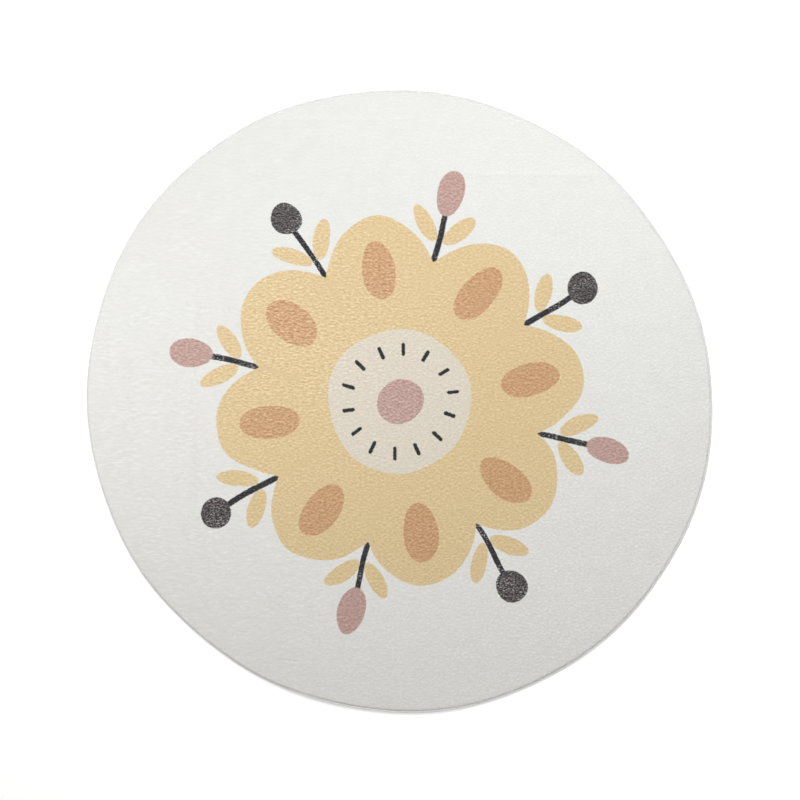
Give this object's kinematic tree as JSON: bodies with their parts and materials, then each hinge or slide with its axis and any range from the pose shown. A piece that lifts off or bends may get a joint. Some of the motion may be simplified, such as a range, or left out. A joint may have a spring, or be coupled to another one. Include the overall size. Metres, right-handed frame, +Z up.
{
  "type": "round play rug",
  "caption": "Round short-pile play rug lying flat, printed with a large rounded flower on an ivory ground, its edge wrapped in overlocking yarn.",
  "frame": {"origin": "on the floor under the middle of the rug's outline", "axes": "+Z up out of the pile, +X to the right and +Y to the top of the rug as it is looked down on"},
  "size_m": [1.2026, 1.1978, 0.0084],
  "materials": {
    "pile_cloth": "soft brushed short pile, ivory with an amber, terracotta, beige, blush and charcoal print, on a plain woven base",
    "overlock_yarn": "matt ivory overlocking yarn"
  },
  "bodies": {
    "root": {"pile_cloth": "pile_cloth", "edge_overlock": "overlock_yarn"}
  },
  "joints": []
}
